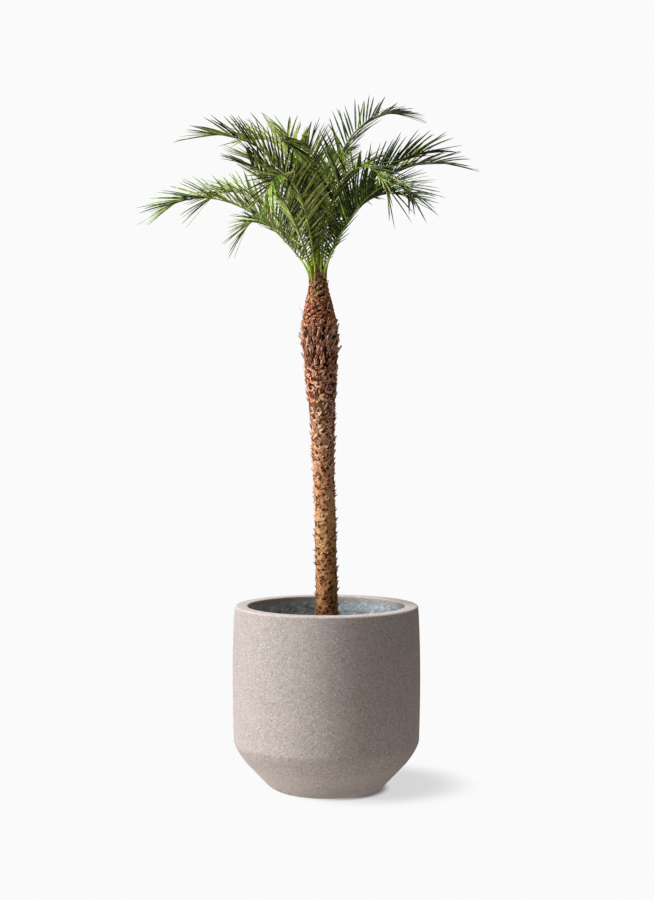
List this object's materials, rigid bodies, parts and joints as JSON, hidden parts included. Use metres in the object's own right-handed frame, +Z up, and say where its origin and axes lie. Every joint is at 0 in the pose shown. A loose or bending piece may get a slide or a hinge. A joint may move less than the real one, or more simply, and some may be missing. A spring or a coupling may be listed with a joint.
{
  "type": "potted pygmy date palm",
  "caption": "Potted pygmy date palm: a slim stubbled trunk with a crown of arching feather fronds, standing in a round fibre-stone planter filled with soil.",
  "frame": {"origin": "centre of the planter's flat underside, on the floor", "axes": "+Z up along the planter's axis; +X to the right and +Y to the back as the plant is seen from the front"},
  "size_m": [0.9506, 0.8287, 1.9358],
  "materials": {
    "planter": "matte",
    "potting_soil": "matte",
    "trunk": "matte",
    "spear_leaf": "satin",
    "frond": "satin"
  },
  "bodies": {
    "root": {"frond_01_inner": "frond", "frond_01_outer": "frond", "frond_02_inner": "frond", "frond_02_outer": "frond", "frond_03_inner": "frond", "frond_03_outer": "frond", "frond_04_inner": "frond", "frond_04_outer": "frond", "frond_05_inner": "frond", "frond_05_outer": "frond", "frond_06_inner": "frond", "frond_06_outer": "frond", "frond_07_inner": "frond", "frond_07_outer": "frond", "frond_08_inner": "frond", "frond_08_outer": "frond", "frond_09": "frond", "frond_10": "frond", "frond_11_inner": "frond", "frond_11_outer": "frond", "frond_12": "frond", "frond_13": "frond", "frond_14_inner": "frond", "frond_14_outer": "frond", "frond_15": "frond", "frond_16_inner": "frond", "frond_16_outer": "frond", "frond_17": "frond", "frond_18_inner": "frond", "frond_18_outer": "frond", "frond_19": "frond", "planter": "planter", "potting_soil": "potting_soil", "spear_leaf": "spear_leaf", "trunk": "trunk"}
  },
  "joints": []
}
